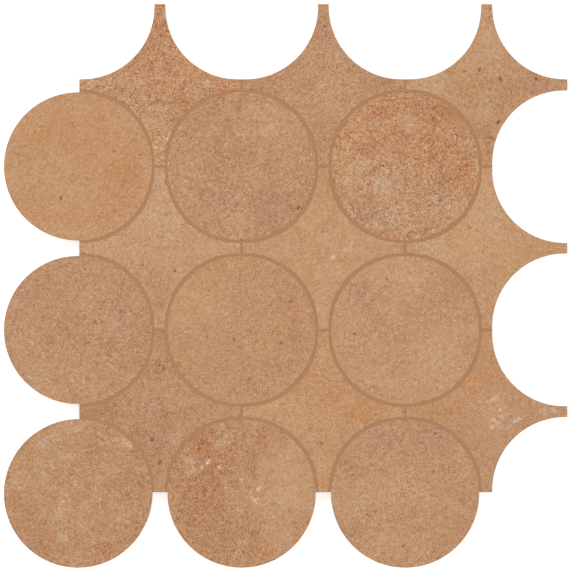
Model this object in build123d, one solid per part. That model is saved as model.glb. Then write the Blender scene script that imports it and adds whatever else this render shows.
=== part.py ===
"""Porcelain mosaic sheet: round tiles and four-pointed star tiles, joints filled, on a glass-fibre net.

Millimetres. The sheet lies face up: +Z leaves the tile faces, +X runs to the right along a row of tiles
and +Y to the top row. The origin is the centre of the sheet's bounding square, on the underside of the net.
Row 1 is the top row and column 1 the left column. Each star stands up and to the right of the round tile
of the same row and column, so discs bulge from the left and bottom edges, star tips from the top and right.
"""

import os
from math import sqrt

from build123d import *

# Pattern
rows = 3
columns = 3
disc_diameter = 78.8
star_tip_width = 5.7
joint_at_tips = 1.25  # from a disc to the side of a star tip
joint_at_flanks = 2.05  # from a disc to the middle of a star's hollow flank
joint_between_tips = 1.4  # from one star tip to the next, end to end

# Section
tile_thickness = 9.0
grout_recess = 0.3  # how far the joint filling lies below the tile faces

# Backing net, a scrim of strands laid one way on strands laid the other way
strand_width = 1.0
strand_thickness = 0.3
strands_per_pitch = 5
net_margin = 4.0  # how far the net is trimmed back inside the sheet's outline
lobe_sides = 8  # straight snips round a lobe of the net

# Worked-out sizes of the pattern
disc_radius = disc_diameter / 2
half_tip = star_tip_width / 2
pitch = disc_diameter + 2 * joint_at_tips + star_tip_width
star_reach = (pitch - joint_between_tips) / 2  # centre of a star to the end of its tip
flank_distance = pitch / sqrt(2) - disc_radius - joint_at_flanks  # centre of a star to its hollow flank

# A hollow flank is an arc that runs on smoothly into the parallel sides of the two tips beside it.
hollow_centre = (flank_distance - half_tip) / (sqrt(2) - 1)  # along X and along Y from the star's centre
hollow_radius = hollow_centre - half_tip

# Worked-out heights
back_plane = 2 * strand_thickness  # the tiles are glued to the upper of the net's two layers
grout_height = tile_thickness - grout_recess

# The discs' outer edge and the stars' far tips bound the sheet, which is centred on the origin.
sheet_width = disc_radius + (columns - 0.5) * pitch + star_reach
sheet_depth = disc_radius + (rows - 0.5) * pitch + star_reach
left_disc_x = disc_radius - sheet_width / 2
bottom_disc_y = disc_radius - sheet_depth / 2

disc_centres = {
    (row + 1, column + 1): (left_disc_x + column * pitch, bottom_disc_y + (rows - 1 - row) * pitch)
    for row in range(rows)
    for column in range(columns)
}
star_centres = {place: (x + pitch / 2, y + pitch / 2) for place, (x, y) in disc_centres.items()}


def block_between(left, bottom, right, top):
    """Rectangle from its lower left to its upper right corner."""
    return Pos((left + right) / 2, (bottom + top) / 2) * Rectangle(right - left, top - bottom)


def disc_outline():
    return Circle(disc_radius)


def star_outline():
    """Square with a round-cornered notch taken out of each corner, which leaves four hollow-sided tips."""
    notch_side = 2 * hollow_centre
    notch_offset = half_tip + notch_side / 2
    notches = GridLocations(2 * notch_offset, 2 * notch_offset, 2, 2) * RectangleRounded(
        notch_side, notch_side, hollow_radius
    )
    return Rectangle(2 * star_reach, 2 * star_reach) - notches


def cut_tile(outline, centre):
    """Tile cut square through its thickness and seated on the net."""
    return Pos(*centre, back_plane) * extrude(outline, tile_thickness)


def joint_filling():
    """Everything between the tiles, up to the end of the outer star tips and flush with their outer sides."""
    left = star_centres[rows, 1][0] - star_reach
    bottom = star_centres[rows, 1][1] - star_reach
    right = star_centres[1, columns][0] + half_tip
    top = star_centres[1, columns][1] + half_tip
    filling = block_between(left, bottom, right, top)
    filling -= [Pos(*centre) * disc_outline() for centre in disc_centres.values()]
    filling -= [Pos(*centre) * star_outline() for centre in star_centres.values()]
    return Pos(0, 0, back_plane) * extrude(filling, grout_height)


def net_lobe(radius):
    """Part of the net under one tile, snipped to an octagon that stands square to the rows."""
    return RegularPolygon(radius, lobe_sides, rotation=180 / lobe_sides)


def net_outline():
    """Where the net lies: inside the joint filling's edges, with a lobe under every tile that reaches past them."""
    body = block_between(
        star_centres[rows, 1][0] - star_reach + net_margin,
        star_centres[rows, 1][1] - star_reach + net_margin,
        star_centres[1, columns][0] + half_tip - net_margin,
        star_centres[1, columns][1] + half_tip - net_margin,
    )
    lobes = [Pos(*centre) * net_lobe(disc_radius - net_margin) for centre in disc_centres.values()]
    lobes += [Pos(*centre) * net_lobe(flank_distance - net_margin) for centre in star_centres.values()]
    return body + lobes


def strands_along_y():
    """Parallel strands trimmed to the net's outline, one of them through the centre of every disc."""
    spacing = pitch / strands_per_pitch
    lines = Sketch() + [
        Pos(left_disc_x + step * spacing, 0) * Rectangle(strand_width, sheet_depth)
        for step in range(-strands_per_pitch, strands_per_pitch * columns)
    ]
    return extrude(net_outline() & lines, strand_thickness)


def strands_along_x():
    """The same strands the other way: the sheet is its own mirror image across its diagonal."""
    return mirror(strands_along_y(), Plane((0, 0, 0), x_dir=(0, 0, 1), z_dir=(1, -1, 0)))


# The bottom left star reaches both edges, so the strip in its outer flank stands apart from the other joints.
corner_strip, main_filling = joint_filling().solids().sort_by(SortBy.VOLUME)

pieces = {
    "net_strands_along_y": strands_along_y(),
    "net_strands_along_x": Pos(0, 0, strand_thickness) * strands_along_x(),
    "joint_grout": main_filling,
    "joint_grout_corner": corner_strip,
}
for (row, column), centre in disc_centres.items():
    pieces[f"disc_row{row}_col{column}"] = cut_tile(disc_outline(), centre)
for (row, column), centre in star_centres.items():
    pieces[f"star_row{row}_col{column}"] = cut_tile(star_outline(), centre)

os.makedirs("parts", exist_ok=True)
for name, piece in pieces.items():
    export_step(piece, f"parts/{name}.step")
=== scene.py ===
"""Porcelain mosaic sheet: round tiles and four-pointed stars on a glass-fibre net, with the joints filled.

The frame is in metres and the shape functions in millimetres. +Z leaves the tile faces, +X runs to the
right along a row of tiles and +Y to the top row.
"""

import bpy
import numpy as np
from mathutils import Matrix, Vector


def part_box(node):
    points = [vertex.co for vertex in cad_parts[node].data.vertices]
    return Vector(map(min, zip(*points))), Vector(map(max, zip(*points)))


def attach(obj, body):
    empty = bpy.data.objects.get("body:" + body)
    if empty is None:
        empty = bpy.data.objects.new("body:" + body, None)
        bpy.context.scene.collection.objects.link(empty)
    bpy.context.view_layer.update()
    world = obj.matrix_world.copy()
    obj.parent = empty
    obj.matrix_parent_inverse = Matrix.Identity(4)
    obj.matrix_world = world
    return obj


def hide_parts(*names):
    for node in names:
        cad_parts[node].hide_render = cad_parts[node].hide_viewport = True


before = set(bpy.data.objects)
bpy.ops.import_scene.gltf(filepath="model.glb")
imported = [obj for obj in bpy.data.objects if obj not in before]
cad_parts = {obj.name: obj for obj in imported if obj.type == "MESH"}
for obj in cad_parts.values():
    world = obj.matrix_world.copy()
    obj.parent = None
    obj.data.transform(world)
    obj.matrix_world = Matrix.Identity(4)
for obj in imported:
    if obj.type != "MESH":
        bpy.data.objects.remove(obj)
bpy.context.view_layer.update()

# Backing net: a laid scrim of glass-fibre yarns coated in white resin. One layer of yarns runs along Y, a
# second is bonded across it along X, and straight snips trim the edge to a lobe under every outer tile.
# The backs of the tiles are glued to the upper layer.
MM = 0.001
rows = (1, 2, 3)
columns = (1, 2, 3)
places = [(row, column) for row in rows for column in columns]


def box_of(node):
    """Lowest and highest corner of a node, in millimetres."""
    low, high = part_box(node)
    return np.array(low) / MM, np.array(high) / MM


def middle_of(node):
    """Middle of a node's box along X and Y, in millimetres."""
    low, high = box_of(node)
    return (low[:2] + high[:2]) / 2


disc_middles = [middle_of(f"disc_row{row}_col{column}") for row, column in places]
star_middles = [middle_of(f"star_row{row}_col{column}") for row, column in places]
pitch = disc_middles[1][0] - disc_middles[0][0]
disc_radius = np.ptp(box_of("disc_row1_col1"), axis=0)[0] / 2
joint_at_flanks = 2.05
flank_distance = pitch / np.sqrt(2) - disc_radius - joint_at_flanks  # middle of a star to its hollow flank
filling_low, filling_high = box_of("joint_grout")

net_margin = 4.0  # how far the net is trimmed back inside the tiles and the joint filling
lobe_sides = 8
yarns_per_pitch = 5
yarn_width = 1.0
yarn_thickness = np.ptp(box_of("net_strands_along_y"), axis=0)[2]
yarn_sides = 10
yarn_step = 1.1  # from one ring of points to the next
fewest_steps = 4
yarn_fullness = 0.93  # share of the width that a yarn takes up on average
slow_swell = 0.04
slow_wave = 0.61  # radians to a millimetre, as the quick wave and the twist
quick_swell = 0.03
quick_wave = 1.7
filament_bundles = 5
bundle_groove = 0.05
bundle_twist = 1.4


def lobe_half_height(offset, radius):
    """Half the height of an upright octagon at an offset from its middle: flat top, then 45 degree side."""
    flat = radius * np.cos(np.pi / lobe_sides)
    return min(flat, flat * np.sqrt(2) - abs(offset)) if abs(offset) < flat else 0.0


def yarn_runs():
    """Stretches of yarn along Y, as x, start and end: the net's outline cut along each yarn's line."""
    lobes = [(*place, disc_radius - net_margin) for place in disc_middles]
    lobes += [(*place, flank_distance - net_margin) for place in star_middles]
    runs = []
    for number in range(-yarns_per_pitch, len(columns) * yarns_per_pitch):
        line = disc_middles[0][0] + number * pitch / yarns_per_pitch
        spans = []
        if filling_low[0] + net_margin <= line <= filling_high[0] - net_margin:
            spans.append((filling_low[1] + net_margin, filling_high[1] - net_margin))
        for x, y, radius in lobes:
            half = lobe_half_height(line - x, radius)
            if half > yarn_width:
                spans.append((y - half, y + half))
        for start, end in sorted(spans):
            if runs and runs[-1][0] == line and start <= runs[-1][2]:
                runs[-1][2] = max(end, runs[-1][2])
            else:
                runs.append([line, start, end])
    return runs


def yarn_surface(line, start, end):
    """Points, quads and end triangles of one yarn: a flat oval carried along Y.

    The oval is half the width times cos a by half the thickness times sin a. A slow and a quick wave along
    the yarn swell and thin it, and its twisted filaments scallop it by 1 + cos(bundles a - twist y).
    """
    steps = max(int((end - start) / yarn_step), fewest_steps)
    y = np.linspace(start, end, steps + 1)[:, None]
    a = np.linspace(0, 2 * np.pi, yarn_sides, endpoint=False)[None, :]
    swell = yarn_fullness + slow_swell * np.sin(y * slow_wave + line)
    swell += quick_swell * np.sin(y * quick_wave + 2 * line)
    twist = 1 - bundle_groove * (1 + np.cos(filament_bundles * a - y * bundle_twist))
    x = line + yarn_width / 2 * np.cos(a) * swell * twist
    z = yarn_thickness / 2 * (1 + np.sin(a) * twist)
    points = np.stack(np.broadcast_arrays(x, y, z), axis=-1).reshape(-1, 3)
    ring = np.arange(steps)[:, None] * yarn_sides
    side = np.arange(yarn_sides)[None, :]
    after = (side + 1) % yarn_sides
    corners = (ring + side, ring + yarn_sides + side, ring + yarn_sides + after, ring + after)
    quads = np.stack(corners, axis=-1).reshape(-1, 4)
    fan = np.arange(1, yarn_sides - 1)
    near = np.stack([0 * fan, fan, fan + 1], axis=-1)
    far = steps * yarn_sides + near[:, ::-1]
    return points, quads, np.concatenate([near, far])


def put_mesh(name, points, quads, triangles, material):
    """Smooth object at the origin, from points in millimetres and arrays of quads and triangles."""
    mesh = bpy.data.meshes.new(name)
    corners = np.concatenate([quads.ravel(), triangles.ravel()])
    starts = np.concatenate([np.arange(len(quads)) * 4, quads.size + np.arange(len(triangles)) * 3])
    mesh.vertices.add(len(points))
    mesh.vertices.foreach_set("co", (points * MM).ravel())
    mesh.loops.add(len(corners))
    mesh.loops.foreach_set("vertex_index", corners)
    mesh.polygons.add(len(starts))
    mesh.polygons.foreach_set("loop_start", starts)
    mesh.polygons.foreach_set("use_smooth", np.ones(len(starts), dtype=bool))
    mesh.update(calc_edges=True)
    mesh.validate()
    mesh.materials.append(material)
    piece = bpy.data.objects.new(name, mesh)
    bpy.context.scene.collection.objects.link(piece)
    return piece


def srgb(red, green, blue):
    """Linear colour of an sRGB value from 0 to 255."""
    part = np.array([red, green, blue]) / 255
    return np.where(part <= 0.04045, part / 12.92, ((part + 0.055) / 1.055) ** 2.4)


def new_surface(name):
    """A node material, with its tree and its shader."""
    material = bpy.data.materials.new(name)
    material.use_nodes = True
    tree = material.node_tree
    return material, tree, tree.nodes["Principled BSDF"]


def on_piece(tree, stretch=(1, 1, 1)):
    """The piece's own coordinates in metres, each axis multiplied by its stretch."""
    place = tree.nodes.new("ShaderNodeTexCoord")
    mapping = tree.nodes.new("ShaderNodeMapping")
    mapping.inputs["Scale"].default_value = stretch
    tree.links.new(place.outputs["Object"], mapping.inputs["Vector"])
    return mapping.outputs["Vector"]


def noise_at(tree, vector, scale, detail, roughness, distortion=0.0):
    """Noise with that many features to a metre, drawn into strokes by distortion."""
    noise = tree.nodes.new("ShaderNodeTexNoise")
    noise.inputs["Scale"].default_value = scale
    noise.inputs["Detail"].default_value = detail
    noise.inputs["Roughness"].default_value = roughness
    noise.inputs["Distortion"].default_value = distortion
    tree.links.new(vector, noise.inputs["Vector"])
    return noise.outputs["Fac"]


def ramp(tree, value, *stops):
    """Colours blended along a value, from pairs of a place and a linear colour."""
    blend = tree.nodes.new("ShaderNodeValToRGB")
    tree.links.new(value, blend.inputs["Fac"])
    while len(blend.color_ramp.elements) < len(stops):
        blend.color_ramp.elements.new(0.5)
    for element, (at, colour) in zip(blend.color_ramp.elements, stops):
        element.position = at
        element.color = (*colour, 1)
    return blend.outputs["Color"]


def bump(tree, shader, height, strength, distance):
    """Fine relief from a height, on the shader's normal."""
    relief = tree.nodes.new("ShaderNodeBump")
    relief.inputs["Strength"].default_value = strength
    relief.inputs["Distance"].default_value = distance
    tree.links.new(height, relief.inputs["Height"])
    tree.links.new(relief.outputs["Normal"], shader.inputs["Normal"])


resin_shade = srgb(214, 212, 203)
resin_light = srgb(238, 237, 231)
fibre_draw = 0.06  # stretch that draws the noise out into streaks along a yarn


def glass_fibre(name, stretch):
    """White resin coat over glass filaments: half matt, streaked along the yarn."""
    material, tree, shader = new_surface(name)
    streaks = noise_at(tree, on_piece(tree, stretch), scale=900, detail=3, roughness=0.6)
    coat = ramp(tree, streaks, (0.3, resin_shade), (0.7, resin_light))
    tree.links.new(coat, shader.inputs["Base Color"])
    shader.inputs["Roughness"].default_value = 0.5
    bump(tree, shader, streaks, strength=0.5, distance=0.05 * MM)
    return material


yarns = [yarn_surface(*run) for run in yarn_runs()]
firsts = np.cumsum([0] + [len(points) for points, _, _ in yarns])
net_points = np.concatenate([points for points, _, _ in yarns])
net_quads = np.concatenate([quads + first for (_, quads, _), first in zip(yarns, firsts)])
net_ends = np.concatenate([ends + first for (_, _, ends), first in zip(yarns, firsts)])
lower_fibre = glass_fibre("glass fibre along y", (1, fibre_draw, 1))
lower_layer = put_mesh("net_yarns_along_y", net_points, net_quads, net_ends, lower_fibre)

# The sheet is its own mirror image across its diagonal: the upper layer swaps X and Y and turns its faces.
upper_points = net_points[:, [1, 0, 2]] + np.array([0, 0, yarn_thickness])
upper_fibre = glass_fibre("glass fibre along x", (fibre_draw, 1, 1))
upper_quads = net_quads[:, ::-1]
upper_ends = net_ends[:, ::-1]
upper_layer = put_mesh("net_yarns_along_x", upper_points, upper_quads, upper_ends, upper_fibre)

for layer, node in ((lower_layer, "net_strands_along_y"), (upper_layer, "net_strands_along_x")):
    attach(layer, "root")
    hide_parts(node)

# Round tiles: porcelain pressed and fired as a slab with a matt, old-brick face, then cut into discs by a
# jet of water. The cut wall shows the bare body, the face's edge is lightly eased, and the back keeps the
# slab's keying ribs. Each disc is from another part of the slab, with its own clouds, stains and pits.
tile_back = box_of("disc_row1_col1")[0][2]
tile_top = box_of("disc_row1_col1")[1][2]
disc_cells = 120
first_disc_seed = 1000
row_seed_step = 100
column_seed_step = 10
arris = 0.1
arris_turns = np.radians([22.5, 45, 67.5, 90])  # rings of points round the eased edge
back_ease = 0.3
rib_spacing = 9.0
rib_flat = 0.1  # middle of a rib to the edge of its flat, in rib spacings
rib_foot = 0.22  # middle of a rib to the floor of the pocket beside it, in rib spacings
pocket_depth = 0.5
wall_grit = 0.22

# Chips along the eased edge come where a noise round the rim passes a threshold.
chip_seed = 3
chip_cell = 1.7
chip_rim_step = 0.43
chip_threshold = 0.74
chip_depth = 0.5
edge_wear_and_painted_light = 0.9  # how far the rounded edge takes the paler body colour: wear, and painted light against its shade
chip_wear = 3.0
most_chip_wear = 0.5

# Colours of the face, of the bare body in the wall and on the eased edge, made paler as painted light
# against the edge's shade, and of the back, with painted shade towards its pockets.
clay_tones = {
    "sand": srgb(192, 145, 105),
    "straw": srgb(200, 156, 113),
    "ochre": srgb(195, 143, 97),
    "orange": srgb(196, 137, 87),
    "rose": srgb(190, 144, 109),
    "blush": srgb(198, 153, 116),
    "mauve": srgb(178, 132, 101),
    "brick": srgb(179, 127, 90),
    "umber": srgb(175, 123, 84),
    "rust": srgb(178, 118, 76),
    "lime": srgb(196, 160, 127),
    "ash": srgb(189, 162, 138),
    "chalk": srgb(233, 206, 178),
    "quartz": srgb(250, 218, 198),
    "freckle": srgb(152, 105, 71),
    "pit": srgb(104, 53, 0),
}
biscuit_and_painted_light = srgb(200, 159, 125)
kiln_wash = srgb(208, 191, 172)
pocket_painted_shade = srgb(184, 150, 121)

# Kinds of cloud on a face: size of the largest cell, step from the tile's seed, and number of octaves.
cloud_kinds = {
    "slow": (24, 0, 4),
    "mottle": (8, 7, 4),
    "grit": (15, 13, 4),
    "freckle": (2.2, 19, 2),
    "relief": (5, 29, 4),
}
lattice_size = 64
lattice_offset = (7.3, 3.1)
octave_weight = 0.6
octave_seed_step = 101

# Stains, pits and grain of a face.
first_mark_seed = 40
finest_break = 1.6  # smallest and largest clouds that break up a stain
coarsest_break = 6.0
stain_hold = 0.275  # how well a stain's middle holds against them
chalk_veil = 0.3  # share of a chalk mark that lies as a veil round its flecks
least_freckles = 0.1
freckles_by_mottle = 0.7
pit_depth = 0.25
pit_darkness = 0.8
gouge_length = 1.3  # times a pit's size, as the width
gouge_width = 0.8
gouge_turn = np.radians(55)  # each pit of a tile is turned by this much more than the last
face_relief = 0.05
least_grit = 0.7
grit_range = 0.6


def lattice_noise(x, y, cell, seed):
    """Smooth noise from 0 to 1: random heights on a square lattice, blended between them by 3t² - 2t³."""
    heights = np.random.default_rng(seed).random((lattice_size, lattice_size))
    across = x / cell + lattice_offset[0]
    up = y / cell + lattice_offset[1]
    column = np.floor(across).astype(int)
    row = np.floor(up).astype(int)
    s = (across - column) ** 2 * (3 - 2 * (across - column))
    t = (up - row) ** 2 * (3 - 2 * (up - row))
    left = column % lattice_size
    right = (column + 1) % lattice_size
    low = row % lattice_size
    high = (row + 1) % lattice_size
    left_height = heights[left, low] * (1 - t) + heights[left, high] * t
    right_height = heights[right, low] * (1 - t) + heights[right, high] * t
    return left_height * (1 - s) + right_height * s


def clouds(x, y, cell, seed, octaves=4):
    """Sum of lattice noises from 0 to 1, each at half the last one's cell and a set share of its weight."""
    weights = octave_weight ** np.arange(octaves)
    layers = []
    for k, weight in enumerate(weights):
        layers.append(weight * lattice_noise(x, y, cell / 2**k, seed + octave_seed_step * k))
    return sum(layers) / weights.sum()


def face_clouds(x, y, kind, seed):
    """Clouds of one kind on the tile with that seed."""
    cell, seed_step, octaves = cloud_kinds[kind]
    return clouds(x, y, cell, seed + seed_step, octaves)


def rise(value, start, end):
    """Smooth step from 0 at start to 1 at end, by 3t² - 2t³."""
    t = np.clip((value - start) / (end - start), 0, 1)
    return t * t * (3 - 2 * t)


def turned(x, y, at_x, at_y, angle):
    """Distances along and across a line that runs through a place at an angle to X."""
    along = (x - at_x) * np.cos(angle) + (y - at_y) * np.sin(angle)
    over = (y - at_y) * np.cos(angle) - (x - at_x) * np.sin(angle)
    return along, over


def spot(x, y, at_x, at_y, length, width, turn, seed):
    """Soft oval stain, exp(-d²) with d in its length and width, broken up by clouds towards its rim."""
    along, over = turned(x, y, at_x, at_y, np.radians(turn))
    soft = np.exp(-((along / length) ** 2) - (over / width) ** 2)
    broken = clouds(x, y, np.clip(width, finest_break, coarsest_break), seed)
    return soft * rise(broken + stain_hold * soft, start=0.475, end=0.775)


def fired_face(x, y, seed, look):
    """Colour, grit, flecks and depth of a tile's face at points in millimetres from the tile's middle.

    The body is sand. Slow clouds shift it to one tone where they are high and to another where they are
    low, faster ones to umber and lime, and small ones make freckles. Then come this tile's marks, each a
    soft oval of a tone. Chalk lies in flecks, pits are short gouges, sunk by exp(-d⁴), and a smooth mark
    calms the grain and the freckles.
    """
    slow = face_clouds(x, y, "slow", seed)
    mottle = face_clouds(x, y, "mottle", seed)
    shifts = [(tone, share * rise(slow, start=0.42, end=0.66)) for tone, share in look["high"].items()]
    shifts += [(tone, share * rise(slow, start=0.58, end=0.34)) for tone, share in look["low"].items()]
    shifts.append(("umber", look["mottle"] * rise(mottle, start=0.5, end=0.75)))
    shifts.append(("lime", look["mottle"] * rise(mottle, start=0.5, end=0.25)))
    marks = [
        (tone, strength * spot(x, y, *place, seed + first_mark_seed + number))
        for number, (tone, *place, strength) in enumerate(look["marks"])
    ]
    rough = np.ones(len(x))
    for tone, weight in marks:
        if tone == "smooth":
            rough *= 1 - np.clip(weight, 0, 1)
    freckles = face_clouds(x, y, "freckle", seed)
    freckled = rough * (least_freckles + freckles_by_mottle * look["mottle"])
    shifts.append(("freckle", freckled * rise(freckles, start=0.58, end=0.8)))
    shifts += [(tone, weight) for tone, weight in marks if tone != "smooth"]
    for number, (at_x, at_y, size) in enumerate(look["pits"]):
        along, over = turned(x, y, at_x, at_y, number * gouge_turn)
        square = (along / (gouge_length * size)) ** 2 + (over / (gouge_width * size)) ** 2
        shifts.append(("pit", pit_darkness * np.exp(-(square**2))))
    colour = np.broadcast_to(clay_tones["sand"], (len(x), 3)).copy()
    flecks = np.zeros(len(x))
    depth = face_relief * face_clouds(x, y, "relief", seed)
    for tone, weight in shifts:
        if tone == "chalk":
            flecks += weight
            weight = chalk_veil * weight
        if tone == "pit":
            depth += pit_depth * weight
        colour += (clay_tones[tone] - colour) * np.clip(weight, 0, 1)[:, None]
    grit = look["grit"] * rough * (least_grit + grit_range * face_clouds(x, y, "grit", seed))
    return colour, grit, np.clip(flecks, 0, 1), depth


def keyed_back(x, y, turn):
    """Height of the back over the net: flat ribs both ways on a square pattern, shallow pockets between."""
    across, up = turned(x / rib_spacing, y / rib_spacing, 0, 0, np.radians(turn))
    from_rib = np.minimum(np.abs(across % 1 - 0.5), np.abs(up % 1 - 0.5))
    return pocket_depth * rise(from_rib, start=rib_flat, end=rib_foot)


def grid_quads(index):
    """Quads of a grid of vertex numbers, turning left from its first axis to its second."""
    corners = (index[:-1, :-1], index[1:, :-1], index[1:, 1:], index[:-1, 1:])
    return np.stack(corners, axis=-1).reshape(-1, 4)


def disc_sheet(cells, inset):
    """Square grid squeezed into a disc, as x, y, quads and the rim's vertices in order, turning left.

    With u and v from -1 to 1, x = r u sqrt(1 - v²/2) and y = r v sqrt(1 - u²/2).
    """
    t = np.linspace(-1, 1, cells + 1)
    u, v = np.meshgrid(t, t, indexing="ij")
    radius = disc_radius - inset
    x = radius * u * np.sqrt(1 - v * v / 2)
    y = radius * v * np.sqrt(1 - u * u / 2)
    index = np.arange(u.size).reshape(u.shape)
    rim = np.concatenate([index[:-1, 0], index[-1, :-1], index[:0:-1, -1], index[0, :0:-1]])
    return x.ravel(), y.ravel(), grid_quads(index), rim


def band(x, y, z, colour, grit, cut):
    """Points of one band of a tile, and for each of them its colour, its grit and its share of cut wall."""
    points = np.stack(np.broadcast_arrays(x, y, z), axis=-1)
    count = len(points)
    colours = np.broadcast_to(colour, (count, 3))
    return points, colours, np.broadcast_to(grit, count), np.broadcast_to(cut, count)


def tile(name, centre, sheet, cells, seed, look, material):
    """Closed tile: face, eased edge, cut wall and ribbed back.

    The face is the sheet inset by the arris. The edge is a quarter round with small chips, swept round the
    rim, and the wall drops straight from it. The back is the same sheet at half the cells, joined to the
    wall by a bevel of three triangles for every two steps of the rim.
    """
    x, y, face_quads, rim = sheet(cells, arris)
    colour, grit, flecks, depth = fired_face(x, y, seed, look)
    bands = [band(x, y, tile_top - depth, colour, grit, 0.0)]
    steps = np.arange(len(rim))
    chips = lattice_noise(steps * chip_rim_step, 0 * steps, chip_cell, seed + chip_seed)
    chip = chip_depth * np.clip(chips - chip_threshold, 0, 1)
    for turn in arris_turns:
        ring_x, ring_y, _, ring = sheet(cells, arris * (1 - np.sin(turn)))
        drop = arris * (1 - np.cos(turn)) + depth[rim] * np.cos(turn) + chip * np.sin(2 * turn)
        # The edge turns paler as it steepens: wear and chips, and painted light that lifts the edge's
        # shade.
        worn_and_painted_light = np.clip(edge_wear_and_painted_light * np.sin(turn) + np.minimum(chip_wear * chip, most_chip_wear), 0, 1)
        clay = colour[rim] + (biscuit_and_painted_light - colour[rim]) * worn_and_painted_light[:, None]
        grain = grit[rim] * np.cos(turn) + wall_grit * np.sin(turn)
        bands.append(band(ring_x[ring], ring_y[ring], tile_top - drop, clay, grain, 1 - np.cos(turn)))
    wall_x, wall_y, _, foot = sheet(cells, 0.0)
    for height in ((tile_top + tile_back) / 2, tile_back + back_ease):
        bands.append(band(wall_x[foot], wall_y[foot], height, biscuit_and_painted_light, wall_grit, 1.0))
    rings = [rim] + [len(x) + number * len(rim) + steps for number in range(len(bands) - 1)]
    back_first = len(x) + (len(bands) - 1) * len(rim)
    back_x, back_y, back_quads, back_rim = sheet(cells // 2, back_ease)
    pocket = keyed_back(back_x, back_y, look["turn"])
    pocket[back_rim] = 0
    # The back is kiln wash on the ribs, darkened towards the floor of each pocket as painted shade.
    wash_with_pocket_shade = kiln_wash + (pocket_painted_shade - kiln_wash) * (pocket / pocket_depth)[:, None]
    bands.append(band(back_x, back_y, tile_back + pocket, wash_with_pocket_shade, wall_grit, 0.0))
    points, colours, grits, cuts = (np.concatenate(part) for part in zip(*bands))

    quads = [face_quads]
    for high, low in zip(rings, rings[1:]):
        quads.append(np.stack([low, np.roll(low, -1), np.roll(high, -1), high], axis=-1))
    quads.append((back_first + back_quads)[:, ::-1])
    coarse = back_first + back_rim
    following = np.roll(coarse, -1)
    fine, half = rings[-1][0::2], rings[-1][1::2]
    after = np.roll(fine, -1)
    threes = ((coarse, half, fine), (coarse, following, half), (following, after, half))
    bevel = np.concatenate([np.stack(three, axis=-1) for three in threes])
    piece = put_mesh(name, points + np.array([*centre, 0.0]), np.concatenate(quads), bevel, material)

    clay = piece.data.attributes.new("clay", "FLOAT_COLOR", "POINT")
    clay.data.foreach_set("color", np.column_stack([colours, np.ones(len(points))]).ravel())
    all_flecks = np.concatenate([flecks, np.zeros(len(points) - len(flecks))])
    for painted, values in (("grit", grits), ("flecks", all_flecks), ("cut", cuts)):
        layer = piece.data.attributes.new(painted, "FLOAT", "POINT")
        layer.data.foreach_set("value", values)
    return piece


def math_node(tree, operation, *values):
    """Result of a sum on links and plain numbers."""
    node = tree.nodes.new("ShaderNodeMath")
    node.operation = operation
    for socket, value in zip(node.inputs, values):
        if isinstance(value, (int, float)):
            socket.default_value = value
        else:
            tree.links.new(value, socket)
    return node.outputs[0]


def mixed(tree, kind, amount, under, over):
    """Colour under, with colour over laid on it by an amount."""
    node = tree.nodes.new("ShaderNodeMix")
    node.data_type = "RGBA"
    node.blend_type = kind
    tree.links.new(amount, node.inputs["Factor"])
    tree.links.new(under, node.inputs["A"])
    if isinstance(over, tuple):
        node.inputs["B"].default_value = over
    else:
        tree.links.new(over, node.inputs["B"])
    return node.outputs["Result"]


def spread(tree, value, kind, start, end):
    """Value brought to 0 at start and to 1 at end, and held there beyond them."""
    node = tree.nodes.new("ShaderNodeMapRange")
    node.interpolation_type = kind
    tree.links.new(value, node.inputs["Value"])
    node.inputs["From Min"].default_value = start
    node.inputs["From Max"].default_value = end
    return node.outputs["Result"]


speck_core = 0.4  # share of a speck's radius that has its full colour


def specks(tree, vector, scale, size):
    """Scattered round specks, 1 inside and 0 outside: a ball in each cell of a lattice, cut by the face."""
    cells = tree.nodes.new("ShaderNodeTexVoronoi")
    cells.inputs["Scale"].default_value = scale
    tree.links.new(vector, cells.inputs["Vector"])
    radius = size * scale
    return spread(tree, cells.outputs["Distance"], "SMOOTHSTEP", start=radius, end=radius * speck_core)


grain_dark = (0.13, 0.2, 0.28)
grain_even = (0.5, 0.5, 0.5)
grain_pale = (0.87, 0.8, 0.72)
grain_strength = 0.66
coarse_share = 0.6
dark_strength = 0.48
pale_strength = 0.35
score_shade = (0.86, 0.84, 0.82)
score_clear = (1, 1, 1)
score_draw = 0.05  # stretch that draws the noise out into scores down the wall


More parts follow.
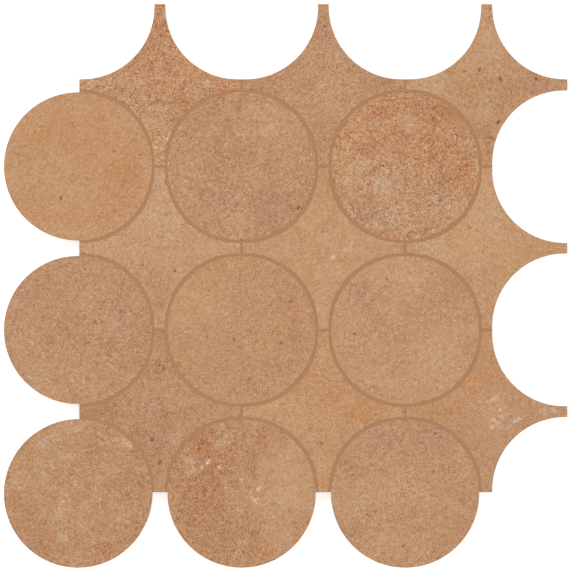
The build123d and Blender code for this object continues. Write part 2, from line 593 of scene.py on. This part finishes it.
def fired_clay():
    """Matt porcelain: the face's own colour under a sandy grain, which its grit makes stronger.

    Dark and pale specks lie in the grain, and the cut wall is scored from top to bottom by the jet.
    """
    material, tree, shader = new_surface("fired clay")
    painted = {}
    for name in ("clay", "grit", "flecks", "cut"):
        node = tree.nodes.new("ShaderNodeAttribute")
        node.attribute_name = name
        painted[name] = node.outputs["Color" if name == "clay" else "Fac"]
    here = on_piece(tree)
    fine = noise_at(tree, here, scale=2100, detail=2, roughness=0.6, distortion=0.6)
    coarse = noise_at(tree, here, scale=640, detail=2, roughness=0.55, distortion=1.2)
    grain = math_node(tree, "MULTIPLY_ADD", coarse, coarse_share, fine)
    level = spread(tree, grain, "LINEAR", start=0.5, end=1.1)
    sandy = ramp(tree, level, (0.0, grain_dark), (0.5, grain_even), (1.0, grain_pale))
    amount = math_node(tree, "MULTIPLY", painted["grit"], grain_strength)
    face = mixed(tree, "LINEAR_LIGHT", amount, painted["clay"], sandy)
    dark = math_node(tree, "MULTIPLY", specks(tree, here, scale=360, size=0.42 * MM), dark_strength)
    face = mixed(tree, "MIX", dark, face, (*clay_tones["pit"], 1))
    pale = math_node(tree, "MULTIPLY", specks(tree, here, scale=240, size=0.4 * MM), pale_strength)
    dense = specks(tree, here, scale=480, size=0.8 * MM)
    pale = math_node(tree, "MULTIPLY_ADD", dense, painted["flecks"], pale)
    face = mixed(tree, "MIX", pale, face, (*clay_tones["chalk"], 1))
    scores = noise_at(tree, on_piece(tree, (1, 1, score_draw)), scale=1300, detail=3, roughness=0.6)
    shade = ramp(tree, scores, (0.3, score_shade), (0.6, score_clear))
    face = mixed(tree, "MULTIPLY", painted["cut"], face, shade)
    tree.links.new(face, shader.inputs["Base Color"])
    shader.inputs["Roughness"].default_value = 0.72
    shader.inputs["Specular IOR Level"].default_value = 0.35
    relief = math_node(tree, "SUBTRACT", level, dark)
    relief = math_node(tree, "MULTIPLY_ADD", scores, painted["cut"], relief)
    bump(tree, shader, relief, strength=0.25, distance=0.12 * MM)
    return material


def tile_look(grit, turn, high, low, mottle, pits, marks):
    """What one tile shows: grain, turn of the ribs, tones of the clouds, mottle, and listed marks.

    A pit is its place from the tile's middle and its size. A mark is its tone, its place, its length, width
    and turn, and its strength.
    """
    return dict(grit=grit, turn=turn, high=high, low=low, mottle=mottle, pits=pits, marks=marks)


def tile_seed(first, row, column):
    """Seed of one tile's clouds."""
    return first + row_seed_step * row + column_seed_step * column


clay_material = fired_clay()
disc_looks = {
    (1, 1): tile_look(
        grit=0.38, turn=12, high={"straw": 0.4}, low={"ochre": 0.6}, mottle=0.1,
        pits=((19, 8, 0.6), (33, 6, 0.52), (-9, -17, 0.8)),
        marks=(
            ("orange", 23, -4, 16, 20, 0, 0.6), ("umber", 26, -4, 8, 10, 0, 0.35),
            ("orange", -26, 16, 20, 6, 4, 0.7), ("orange", -14, -26, 16, 6, -8, 0.35),
            ("orange", 12, -27, 12, 7, 0, 0.45), ("ochre", 2, 2, 14, 12, 0, 0.5),
            ("blush", 2, 30, 26, 10, 0, 0.5), ("straw", -24, -5, 20, 9, 0, 0.2),
            ("ochre", -8, 21, 26, 3, 3, 0.5), ("straw", -12, -13, 20, 3, 2, 0.4),
            ("ochre", 4, -19, 22, 3, -2, 0.4),
        ),
    ),
    (1, 2): tile_look(
        grit=0.52, turn=-20, high={"mauve": 0.5}, low={"rose": 0.6}, mottle=0.2,
        pits=((-15, -15, 0.6), (30, -22, 1.05)),
        marks=(
            ("mauve", -8, 0, 28, 10, 4, 0.3), ("mauve", -16, -18, 14, 10, 30, 0.6),
            ("mauve", 15, -18, 13, 9, 20, 0.6), ("mauve", -27, 20, 12, 12, 0, 0.4),
            ("mauve", 33, 11, 8, 12, 0, 0.6), ("blush", 8, 23, 22, 12, -10, 1.0),
            ("blush", -3, -30, 14, 8, 0, 0.5), ("lime", 24, 27, 6, 5, 0, 0.4),
            ("blush", -30, -12, 8, 8, 0, 0.4),
        ),
    ),
    (1, 3): tile_look(
        grit=0.74, turn=33, high={"orange": 0.4}, low={"rose": 0.4}, mottle=0.35,
        pits=((19, -18, 1.2), (13, -21, 0.6)),
        marks=(
            ("orange", 0, 18, 46, 24, -6, 0.7), ("orange", 26, -2, 14, 20, 0, 0.4),
            ("umber", 10, 31, 16, 6, -15, 0.5), ("umber", -20, 10, 16, 7, 10, 0.5),
            ("umber", 18, 8, 18, 14, -30, 0.6), ("rust", 17, 32, 5, 3, 0, 0.9),
            ("rust", -6, 20, 4, 1.6, -20, 0.9), ("rust", -1, 17, 4, 1.6, -50, 0.8),
            ("rust", 10, 15, 5, 2, -20, 0.9), ("rust", 15, 10, 5, 2, -60, 0.8),
            ("rust", 10, 4, 4, 2, 30, 0.7), ("rust", 20, -8, 5, 2.4, 20, 0.8),
            ("rust", 29, -4, 5, 3, 60, 0.7), ("umber", -14, 27, 12, 6, 25, 0.5),
            ("umber", 32, 8, 5, 8, 0, 0.5), ("mauve", -20, -25, 11, 8, 30, 0.8),
            ("mauve", 19, -13, 8, 6, 0, 0.5), ("mauve", 11, -34, 9, 4, 0, 0.7),
            ("ochre", 29, -20, 10, 8, 0, 0.6), ("orange", 7, -29, 9, 5, 0, 0.6),
            ("straw", -30, 4, 10, 14, 0, 0.6), ("ash", 0, 27, 5, 2.6, 0, 1.2),
            ("ash", 2, 21, 3, 3.4, 0, 0.9), ("lime", -6, -28, 12, 8, 0, 0.5),
            ("lime", -24, 1, 6, 5, 0, 0.7), ("lime", -13, -10, 8, 6, 0, 0.8),
            ("ash", 33, 13, 3.4, 3, 0, 0.6), ("lime", 17, -18, 6, 4, 0, 0.7),
            ("chalk", 0, 0, 34, 34, 0, 0.1), ("umber", 25, 28, 12, 5, -48, 0.8),
            ("smooth", 25, 28, 12, 5, -48, 0.9), ("smooth", 1, 25, 6, 6, 0, 0.7),
        ),
    ),
    (2, 1): tile_look(
        grit=0.5, turn=70, high={"mauve": 0.4}, low={"rose": 0.6}, mottle=0.2,
        pits=(),
        marks=(
            ("mauve", 22, 8, 16, 10, -20, 0.4), ("mauve", -3, 5, 18, 10, 0, 0.5),
            ("mauve", -24, 22, 14, 10, 30, 0.4), ("mauve", 20, 27, 10, 8, 0, 0.5),
            ("blush", -4, -28, 26, 10, 0, 0.5), ("blush", -30, -8, 9, 16, 0, 0.5),
            ("lime", 20, 4, 3, 4, 0, 0.6), ("lime", -22, -28, 10, 6, -35, 0.4),
            ("umber", -15, -8, 4, 3, 0, 0.5), ("freckle", 9, 4, 1.4, 1.2, 0, 0.8),
            ("freckle", 23, 10, 1.6, 1.2, 0, 0.8), ("freckle", 28, 3, 1.2, 1.4, 0, 0.8),
        ),
    ),
    (2, 2): tile_look(
        grit=0.43, turn=5, high={"ochre": 0.3}, low={"rose": 0.5}, mottle=0.1,
        pits=((21, -7, 0.9), (4, -26, 0.68), (-4, -5, 0.6), (-7, -11, 0.52), (26, 15, 0.6)),
        marks=(
            ("straw", -22, 15, 18, 18, 0, 0.5), ("umber", 25, 15, 10, 7, 80, 0.5),
            ("umber", 28, -2, 10, 6, 90, 0.5), ("umber", 15, 25, 8, 4, -30, 0.5),
            ("mauve", -3, -27, 26, 9, 0, 0.2), ("mauve", 22, -22, 10, 9, 0, 0.4),
            ("rose", -14, -10, 18, 10, 0, 0.6), ("lime", 15, 26, 2.4, 2, 0, 0.8),
        ),
    ),
    (2, 3): tile_look(
        grit=0.45, turn=-48, high={"blush": 0.8}, low={"blush": 0.3}, mottle=0.1,
        pits=((-27, -2, 0.68), (-10, 27, 0.6)),
        marks=(
            ("mauve", -20, 17, 14, 12, 90, 0.8), ("mauve", 27, 20, 12, 10, 0, 0.6),
            ("blush", -2, 28, 18, 10, 0, 0.8), ("blush", 17, -13, 19, 14, 0, 1.0),
            ("lime", 17, -14, 14, 10, 0, 0.2), ("mauve", 34, -6, 6, 9, 0, 0.4),
            ("blush", -28, 2, 9, 14, 0, 0.6), ("blush", -10, -26, 18, 9, 0, 0.6),
            ("mauve", 4, 4, 12, 8, 60, 0.3),
        ),
    ),
    (3, 1): tile_look(
        grit=0.52, turn=25, high={"brick": 0.4}, low={"rose": 0.3}, mottle=0.25,
        pits=(),
        marks=(
            ("brick", 26, 8, 14, 16, 0, 0.5), ("brick", 18, -25, 20, 10, 20, 0.7),
            ("brick", -31, -2, 8, 14, 0, 0.4), ("brick", -16, -27, 14, 8, 0, 0.5),
            ("rust", 26, -2, 4, 3, 0, 0.6), ("rust", -10, -5, 5, 3, 0, 0.5),
            ("brick", -3, 4, 18, 14, 0, 0.5), ("lime", -14, 31, 6, 5, 0, 0.8),
            ("lime", -20, 26, 3.6, 5, 0, 0.8), ("lime", -19, 10, 5, 5, 0, 0.9),
            ("lime", -31, 4, 4, 3, 0, 0.7), ("lime", -32, 9, 4, 3, 0, 0.7),
            ("lime", -11, -11, 6, 6, 0, 0.9), ("lime", -8, -24, 3.4, 4, 0, 1.0),
            ("lime", -2, 34, 6, 4, 0, 0.8), ("lime", -7, 19, 8, 5, 0, 0.4),
            ("mauve", 2, -1, 6, 4, 0, 0.4), ("straw", -1, -9, 9, 6, 0, 0.4),
            ("chalk", 26, 26, 3.5, 1.8, -10, 1.0), ("chalk", -8, -4, 1.8, 1.4, 0, 0.9),
            ("chalk", 27, 3, 3, 2, 0, 0.6), ("chalk", 0, 0, 34, 34, 0, 0.1),
        ),
    ),
    (3, 2): tile_look(
        grit=0.6, turn=-8, high={"brick": 0.25}, low={"rose": 0.25}, mottle=0.25,
        pits=(),
        marks=(
            ("brick", -18, 4, 44, 24, 90, 0.9), ("brick", -10, -20, 22, 18, 0, 0.8),
            ("rust", -19, 26, 6, 7, 0, 0.9), ("rust", -9, 24, 6, 4, 0, 0.6),
            ("umber", -18, 4, 12, 10, 60, 0.45), ("umber", -20, -8, 12, 8, 0, 0.5),
            ("rust", 10, 28, 6, 8, 0, 0.5), ("umber", 6, 20, 5, 10, 0, 0.4),
            ("blush", 23, 12, 17, 24, 0, 0.9), ("straw", 24, -2, 16, 8, 0, 0.9),
            ("blush", 22, -22, 16, 16, 0, 0.6), ("blush", 26, -1, 12, 6, 0, 0.8),
            ("lime", 24, -1, 10, 5, 0, 0.4), ("orange", 11, -25, 8, 4, 90, 0.5),
            ("lime", -28, 17, 4, 3.4, 0, 1.2), ("lime", -12, 27, 4, 3.4, 0, 0.9),
            ("smooth", 26, 0, 24, 50, 0, 0.4), ("smooth", -28, 17, 4, 3.4, 0, 0.6),
            ("quartz", -18, 17, 1.5, 1.2, 60, 1.4), ("quartz", -21, 14, 1.1, 1, 0, 0.6),
            ("quartz", -12, 14, 1, 1, 0, 0.6), ("quartz", 9, 3, 1.6, 1.1, 30, 1.4),
            ("quartz", 5, 1, 1, 1.4, 0, 0.7), ("quartz", 9, -5, 1.2, 1.1, 0, 1.0),
            ("chalk", 7, -3, 1.8, 2, 0, 1.6), ("quartz", -8, 3, 1, 1, 0, 0.5),
            ("chalk", 0, 7, 1.6, 2.2, 0, 1.2), ("quartz", -17, 29, 1.2, 1.2, 0, 0.3),
            ("chalk", -8, 31, 1.4, 1.4, 0, 0.8), ("chalk", -14, -22, 18, 16, 0, 0.12),
            ("chalk", -12, 6, 20, 18, 0, 0.1),
        ),
    ),
    (3, 3): tile_look(
        grit=0.5, turn=58, high={"blush": 0.25}, low={"rose": 0.7}, mottle=0.2,
        pits=((16, 32, 0.75), (-1, -28, 0.6), (-20, -11, 0.6)),
        marks=(
            ("mauve", -2, 28, 24, 9, 0, 0.45), ("mauve", 16, 32, 9, 5, -30, 0.8),
            ("mauve", -29, 10, 10, 12, 0, 0.5), ("blush", -8, 2, 26, 16, 0, 0.7),
            ("lime", -25, -7, 10, 8, 0, 0.25), ("mauve", 14, 10, 12, 8, 0, 0.2),
            ("straw", -3, -26, 18, 8, 0, 0.4), ("orange", 19, -21, 6, 7, 0, 0.5),
            ("umber", 19, -26, 7, 5, 0, 0.4),
        ),
    ),
}
for (row, column), centre in zip(places, disc_middles):
    name = f"round_tile_row{row}_col{column}"
    seed = tile_seed(first_disc_seed, row, column)
    disc = tile(name, centre, disc_sheet, disc_cells, seed, disc_looks[row, column], clay_material)
    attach(disc, "root")
    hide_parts(f"disc_row{row}_col{column}")

# Star tiles: cut from the same slabs, each with four narrow tips and hollow flanks that follow the discs
# round it. The tips end square, a joint's width from the tips of the next star.
star_cells = 44
first_star_seed = 5000
merge_digits = 5
star_reach = np.ptp(box_of("star_row1_col1"), axis=0)[0] / 2
half_tip = filling_high[1] - star_middles[0][1]
hollow_centre = (flank_distance - half_tip) / (np.sqrt(2) - 1)  # along X and along Y from the star's middle
hollow_radius = hollow_centre - half_tip


def star_sheet(cells, inset):
    """Square middle and four arms, as x, y, quads and the rim's vertices in order, turning left.

    An arm's half width at x is c - sqrt(r² - (c - x)²), the hollow flank's arc about (c, c), up to x = c,
    and the half tip from there to the end. An inset adds to r and draws in the end by as much. The middle
    square reaches to where the arc meets the diagonal. Points that it shares with the arms are merged.
    """
    radius = hollow_radius + inset
    root = hollow_centre - radius / np.sqrt(2)
    t = np.linspace(-1, 1, cells + 1)
    along = np.linspace(root, star_reach - inset, cells + 1)
    half = hollow_centre - np.sqrt(radius**2 - np.maximum(hollow_centre - along, 0) ** 2)
    arm_x, arm_y = np.broadcast_arrays(along[:, None], half[:, None] * t[None, :])
    square_x, square_y = np.meshgrid(root * t, root * t, indexing="ij")
    grids = [(square_x, square_y), (arm_x, arm_y), (-arm_y, arm_x), (-arm_x, -arm_y), (arm_y, -arm_x)]
    loose = np.concatenate([np.stack([x.ravel(), y.ravel()], axis=-1) for x, y in grids])
    rounded = np.round(loose, merge_digits)
    _, first, number = np.unique(rounded, axis=0, return_index=True, return_inverse=True)
    middle, *arms = number.reshape(len(grids), cells + 1, cells + 1)
    quads = np.concatenate([grid_quads(index) for index in (middle, *arms)])
    rim = np.concatenate([np.concatenate([arm[:-1, 0], arm[-1, :-1], arm[:0:-1, -1]]) for arm in arms])
    return loose[first, 0], loose[first, 1], quads, rim


star_looks = {
    (1, 1): tile_look(
        grit=0.74, turn=40, high={"orange": 0.4}, low={"brick": 0.35}, mottle=0.3,
        pits=(),
        marks=(
            ("orange", 0, 24, 26, 9, 90, 0.4), ("umber", 3, 9, 18, 9, -10, 0.2),
            ("orange", -4, 2, 24, 12, 0, 0.3), ("umber", 0, 30, 9, 5, 90, 0.3),
            ("rust", -7, 11, 5, 2.4, 30, 0.7), ("rust", 7, 8, 6, 3, -20, 0.7),
            ("rust", 13, -7, 6, 3, 40, 0.6), ("orange", 33, -2, 7, 3, 0, 1.0),
            ("ochre", 18, -1, 5, 2.4, 0, 1.0), ("umber", 0, -10, 22, 1.6, 3, 0.6),
            ("umber", -2, -15, 16, 1.4, 3, 0.6), ("umber", -16, -4, 12, 2, -14, 0.5),
            ("lime", 26, 1, 5, 3, 0, 1.2), ("lime", 22, 6, 2.4, 2, 0, 0.9),
            ("lime", -4, -19, 9, 6, 0, 0.6), ("lime", -34, 0, 12, 4, 0, 0.4),
            ("lime", 0, -13, 14, 1.4, 3, 0.6), ("lime", 0, -36, 12, 6, 90, 0.3),
            ("rust", 8, -18, 4, 3, 90, 0.6), ("chalk", 0, 0, 30, 20, 0, 0.1),
            ("blush", -17, 0, 11, 8, 0, 0.7), ("rose", 0, 20, 16, 10, 90, 0.5),
            ("rose", 2, 4, 18, 10, 0, 0.4), ("brick", 24, -2, 16, 7, 0, 0.35),
        ),
    ),
    (1, 2): tile_look(
        grit=0.53, turn=-15, high={"mauve": 0.3}, low={"rose": 0.5}, mottle=0.15,
        pits=((1, 31, 0.75), (14, 8, 0.6), (16, 10, 0.6)),
        marks=(
            ("mauve", 0, 30, 10, 5, 90, 0.7), ("mauve", -12, 4, 16, 9, 0, 0.4),
            ("mauve", 34, 0, 10, 5, 0, 0.5), ("umber", -33, -2, 9, 5, 0, 0.5),
            ("blush", 2, -2, 22, 16, 0, 0.6), ("blush", 0, 14, 10, 8, 0, 0.3),
        ),
    ),
    (1, 3): tile_look(
        grit=0.47, turn=22, high={"rose": 0.5}, low={"straw": 0.4}, mottle=0.35,
        pits=((-12, 7, 0.75), (-4, 8, 0.98), (7, 3, 1.05), (26, 3, 0.75), (6, -20, 0.9)),
        marks=(
            ("lime", -27, 0, 18, 6, 0, 0.8), ("straw", 0, 29, 16, 6, 90, 0.8),
            ("lime", 0, 22, 10, 5, 90, 0.5), ("umber", -6, -2, 6, 9, 0, 0.15),
            ("mauve", 22, 0, 18, 6, 0, 0.4), ("umber", -17, -5, 5, 3, 0, 0.7),
            ("lime", 2, -13, 6, 6, 0, 0.6), ("orange", -6, -3, 6, 6, 0, 0.6),
            ("mauve", 2, -27, 8, 4, 90, 0.4), ("freckle", 3, -28, 1.6, 1.2, 0, 0.8),
            ("freckle", 1, -31, 1.2, 1.2, 0, 0.8),
        ),
    ),
    (2, 1): tile_look(
        grit=0.49, turn=-35, high={"straw": 0.6}, low={"blush": 0.7}, mottle=0.15,
        pits=((-9, -9, 0.68), (8, -12, 0.6)),
        marks=(
            ("straw", 3, 18, 20, 14, 0, 1.0), ("lime", 4, 16, 16, 14, 0, 0.4),
            ("straw", -24, 1, 20, 9, 0, 0.7), ("lime", -20, 1, 14, 7, 0, 0.15),
            ("straw", 26, -1, 18, 7, 0, 0.8), ("mauve", 0, -18, 14, 9, 0, 0.5),
            ("mauve", 0, -29, 10, 5, 90, 0.5), ("lime", 0, 34, 8, 4, 90, 0.4),
        ),
    ),
    (2, 2): tile_look(
        grit=0.36, turn=8, high={"ochre": 0.3}, low={"straw": 0.8}, mottle=0.1,
        pits=(),
        marks=(
            ("straw", 1, 13, 18, 14, 0, 0.8), ("chalk", 12, 1, 4, 1.3, 80, 2.4),
            ("chalk", 15, 2, 3, 1.2, 75, 1.8), ("chalk", 5, -5, 2.4, 1.6, 60, 1.6),
            ("orange", -8, -14, 4, 4, 0, 0.8), ("orange", -2, 1, 18, 8, 0, 0.3),
            ("rose", 28, -1, 14, 5, 0, 0.7), ("blush", -24, -1, 16, 7, 0, 0.8),
            ("rust", 40, 1, 4, 2, 0, 0.5), ("blush", 2, 2, 22, 12, 0, 0.7),
            ("blush", 0, -24, 14, 7, 90, 0.5),
        ),
    ),
    (2, 3): tile_look(
        grit=0.46, turn=62, high={"straw": 0.8}, low={"straw": 0.5}, mottle=0.1,
        pits=((-9, 11, 0.6),),
        marks=(
            ("straw", -2, 18, 22, 14, 90, 1.0), ("lime", -2, 17, 20, 13, 90, 0.3),
            ("straw", -8, -1, 18, 12, 0, 0.9), ("lime", -32, 1, 12, 5, 0, 0.5),
            ("ochre", 24, 0, 14, 5, 0, 0.6), ("rose", -3, -26, 14, 6, 90, 0.4),
            ("straw", 12, -2, 10, 8, 0, 0.7), ("blush", -10, -6, 12, 6, 0, 0.4),
        ),
    ),
    (3, 1): tile_look(
        grit=0.46, turn=-60, high={"mauve": 0.6}, low={"umber": 0.25}, mottle=0.25,
        pits=((-4, -15, 1.05), (0, -27, 0.98), (0, 25, 0.6), (2, 23, 0.6)),
        marks=(
            ("mauve", 3, -5, 16, 12, 0, 0.6), ("mauve", 0, 24, 8, 6, 90, 1.0),
            ("umber", -32, 0, 12, 5, 0, 0.7), ("mauve", -2, -21, 12, 8, 90, 0.6),
            ("lime", 8, -13, 6, 4, 0, 0.6), ("rose", 28, 2, 16, 6, 0, 0.7),
            ("blush", 12, 6, 10, 6, 0, 0.4), ("mauve", -8, -14, 5, 4, 0, 0.7),
        ),
    ),
    (3, 2): tile_look(
        grit=0.42, turn=17, high={"straw": 0.3}, low={"ochre": 0.6}, mottle=0.05,
        pits=(),
        marks=(
            ("straw", -24, 2, 22, 8, 0, 0.9), ("orange", 21, 5, 15, 11, 0, 1.0),
            ("orange", -2, 5, 12, 6, 0, 0.3), ("straw", 38, 0, 5, 4, 0, 0.9),
            ("straw", 0, 30, 14, 6, 90, 0.5), ("straw", 0, -24, 16, 6, 90, 0.6),
            ("ochre", -10, 10, 16, 2, 4, 0.5), ("straw", -8, -4, 18, 2, 2, 0.5),
            ("freckle", -7, -9, 1.8, 1.2, 0, 0.8), ("freckle", -1, -17, 1.6, 1.2, 0, 0.8),
            ("lime", -7, -13, 2, 3, 0, 0.7),
        ),
    ),
    (3, 3): tile_look(
        grit=0.41, turn=-25, high={"rose": 0.4}, low={"ochre": 0.4}, mottle=0.15,
        pits=(),
        marks=(
            ("orange", -7, 17, 7, 7, 0, 0.8), ("orange", -16, -1, 14, 6, 10, 0.6),
            ("umber", -27, -1, 7, 4, 0, 0.4), ("rose", -1, -24, 14, 7, 90, 0.6),
            ("blush", -4, 2, 16, 10, 0, 0.5), ("quartz", 31, 0, 2.4, 2.4, 0, 0.32),
            ("blush", 8, -1, 13, 9, 20, 0.7), ("rose", 22, 0, 10, 5, 0, 0.4),
            ("chalk", 4, 7, 5, 1.5, 35, 1.2), ("chalk", 6, -3, 5, 1.3, 25, 1.2),
            ("chalk", 14, -6, 6, 1.5, 38, 1.2), ("chalk", 5, -7, 5, 3, 20, 0.7),
            ("chalk", 7, 1, 1.2, 1, 0, 1), ("chalk", 2, 2, 1.2, 1, 0, 1),
            ("quartz", 35, 1, 2.4, 1.6, 0, 0.26),
        ),
    ),
}
for (row, column), centre in zip(places, star_middles):
    name = f"star_tile_row{row}_col{column}"
    seed = tile_seed(first_star_seed, row, column)
    star = tile(name, centre, star_sheet, star_cells, seed, star_looks[row, column], clay_material)
    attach(star, "root")
    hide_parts(f"star_row{row}_col{column}")

# Joint filling: fine sanded cement grout in a plain brown, worked in between the tiles and wiped a little
# below their faces. The strip at the bottom left touches no other joint.
grout_shade = srgb(173, 126, 89)
grout_light = srgb(187, 140, 102)
grout, grout_tree, grout_shader = new_surface("brown grout")
sandiness = noise_at(grout_tree, on_piece(grout_tree), scale=2600, detail=2, roughness=0.6)
grout_tone = ramp(grout_tree, sandiness, (0.25, grout_shade), (0.75, grout_light))
grout_tree.links.new(grout_tone, grout_shader.inputs["Base Color"])
grout_shader.inputs["Roughness"].default_value = 0.9
grout_shader.inputs["Specular IOR Level"].default_value = 0.25
bump(grout_tree, grout_shader, sandiness, strength=0.4, distance=0.1 * MM)
for node in ("joint_grout", "joint_grout_corner"):
    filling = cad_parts[node].data
    filling.materials.clear()
    filling.materials.append(grout)

# Floor, light and camera: a pale floor that reads white and keeps the shadow, an even sky with two soft
# lamps, and a long lens looking straight down.
floor_half = 3000.0
floor_grey = (0.8, 0.8, 0.8, 1)
floor_glow = 0.66  # lifts the floor to white where it is seen
sky_light = 0.71
white = (1, 1, 1, 1)


def seen_directly(tree):
    """1 for a ray from the camera, a gloss or a clear piece, which shows the backdrop, and 0 for light."""
    rays = tree.nodes.new("ShaderNodeLightPath").outputs
    seen = math_node(tree, "MAXIMUM", rays["Is Camera Ray"], rays["Is Glossy Ray"])
    return math_node(tree, "MAXIMUM", seen, rays["Is Transmission Ray"])


floor_material, floor_tree, floor_shader = new_surface("pale floor")
floor_shader.inputs["Base Color"].default_value = floor_grey
floor_shader.inputs["Roughness"].default_value = 0.9
floor_shader.inputs["Specular IOR Level"].default_value = 0.0
floor_shader.inputs["Emission Color"].default_value = white
glow = math_node(floor_tree, "MULTIPLY", seen_directly(floor_tree), floor_glow)
floor_tree.links.new(glow, floor_shader.inputs["Emission Strength"])
floor_points = floor_half * np.array([[-1, -1, 0], [1, -1, 0], [1, 1, 0], [-1, 1, 0]], dtype=float)
no_triangles = np.empty((0, 3), dtype=int)
floor = put_mesh("floor", floor_points, np.array([[0, 1, 2, 3]]), no_triangles, floor_material)

world = bpy.data.worlds.new("studio")
bpy.context.scene.world = world
world.use_nodes = True
sky = world.node_tree
shine = math_node(sky, "MULTIPLY_ADD", seen_directly(sky), 1 - sky_light, sky_light)
sky.nodes["Background"].inputs["Color"].default_value = white
sky.links.new(shine, sky.nodes["Background"].inputs["Strength"])


def soft_lamp(name, place, watts, size):
    """Square area lamp, aimed at the origin."""
    lamp = bpy.data.lights.new(name, "AREA")
    lamp.energy = watts
    lamp.size = size
    stand = bpy.data.objects.new(name, lamp)
    bpy.context.scene.collection.objects.link(stand)
    stand.location = place
    stand.rotation_euler = (-stand.location).to_track_quat("-Z", "Y").to_euler()


soft_lamp("key lamp", place=(-0.9, 0.8, 1.5), watts=9.0, size=0.9)
soft_lamp("fill lamp", place=(1.1, -0.7, 1.4), watts=4.0, size=1.2)

view_width = 303.08 * MM
view_right = -0.36 * MM  # middle of the view, from the middle of the sheet
view_up = 0.48 * MM
lens = bpy.data.cameras.new("camera")
lens.lens = 300
lens.sensor_width = 36
camera = bpy.data.objects.new("camera", lens)
camera.location = (view_right, view_up, tile_top * MM + view_width * lens.lens / lens.sensor_width)
bpy.context.scene.collection.objects.link(camera)
bpy.context.scene.camera = camera
bpy.context.scene.view_settings.view_transform = "Standard"
